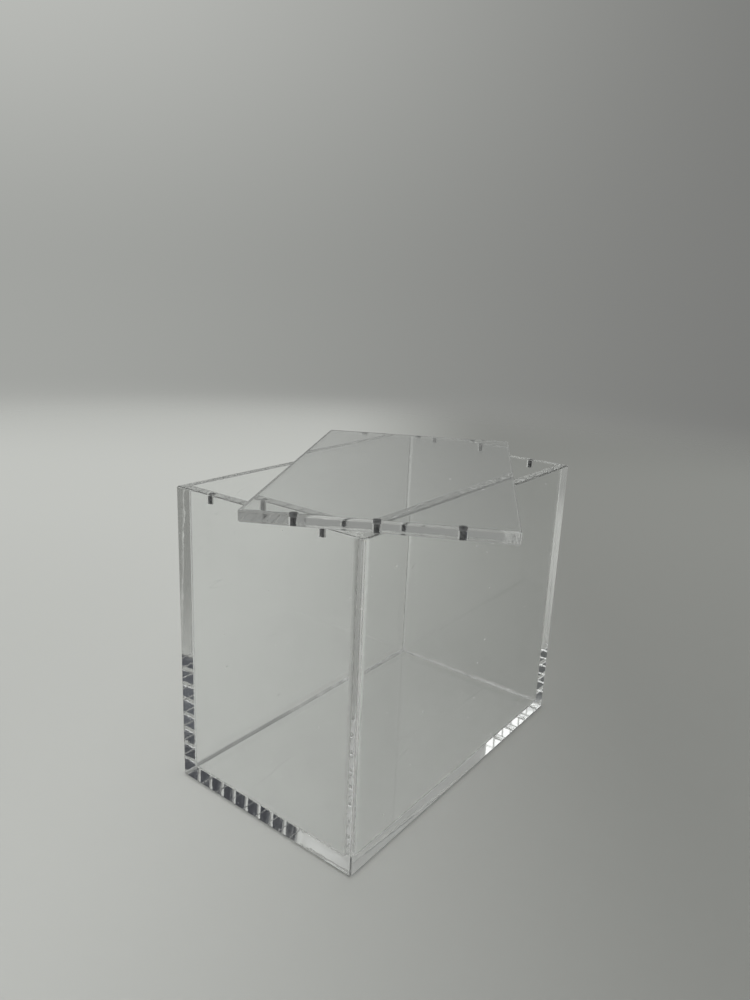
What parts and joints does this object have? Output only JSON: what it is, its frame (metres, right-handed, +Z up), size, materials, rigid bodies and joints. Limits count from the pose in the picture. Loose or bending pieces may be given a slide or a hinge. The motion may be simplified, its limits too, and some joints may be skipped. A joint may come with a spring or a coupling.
{
  "type": "acrylic storage box with lid",
  "caption": "Clear acrylic storage box, open at the top, cemented from flat panels, with a loose flat lid lying askew on the rim and small round magnets that hold it shut.",
  "frame": {"origin": "centre of the underside of the base panel, on the surface that the box stands on", "axes": "+X along the long side of the box, +Y from the front wall to the back wall, +Z up"},
  "size_m": [0.1808, 0.1568, 0.1326],
  "materials": {
    "clear_acrylic": "clear, with polished, rounded edges",
    "magnet_nickel": "nickel plate"
  },
  "bodies": {
    "box": {"base_panel": "clear_acrylic", "front_wall": "clear_acrylic", "back_wall": "clear_acrylic", "left_wall": "clear_acrylic", "right_wall": "clear_acrylic", "left_wall_magnet_front": "magnet_nickel", "left_wall_magnet_middle": "magnet_nickel", "left_wall_magnet_back": "magnet_nickel", "right_wall_magnet_front": "magnet_nickel", "right_wall_magnet_middle": "magnet_nickel", "right_wall_magnet_back": "magnet_nickel"},
    "lid": {"lid_panel": "clear_acrylic", "lid_left_magnet_front": "magnet_nickel", "lid_left_magnet_middle": "magnet_nickel", "lid_left_magnet_back": "magnet_nickel", "lid_right_magnet_front": "magnet_nickel", "lid_right_magnet_middle": "magnet_nickel", "lid_right_magnet_back": "magnet_nickel"}
  },
  "joints": [
    {"name": "lid_lift", "type": "slide", "parent": "box", "child": "lid", "axis": [0, 0, 1], "range_m": [0, 0.15]}
  ]
}
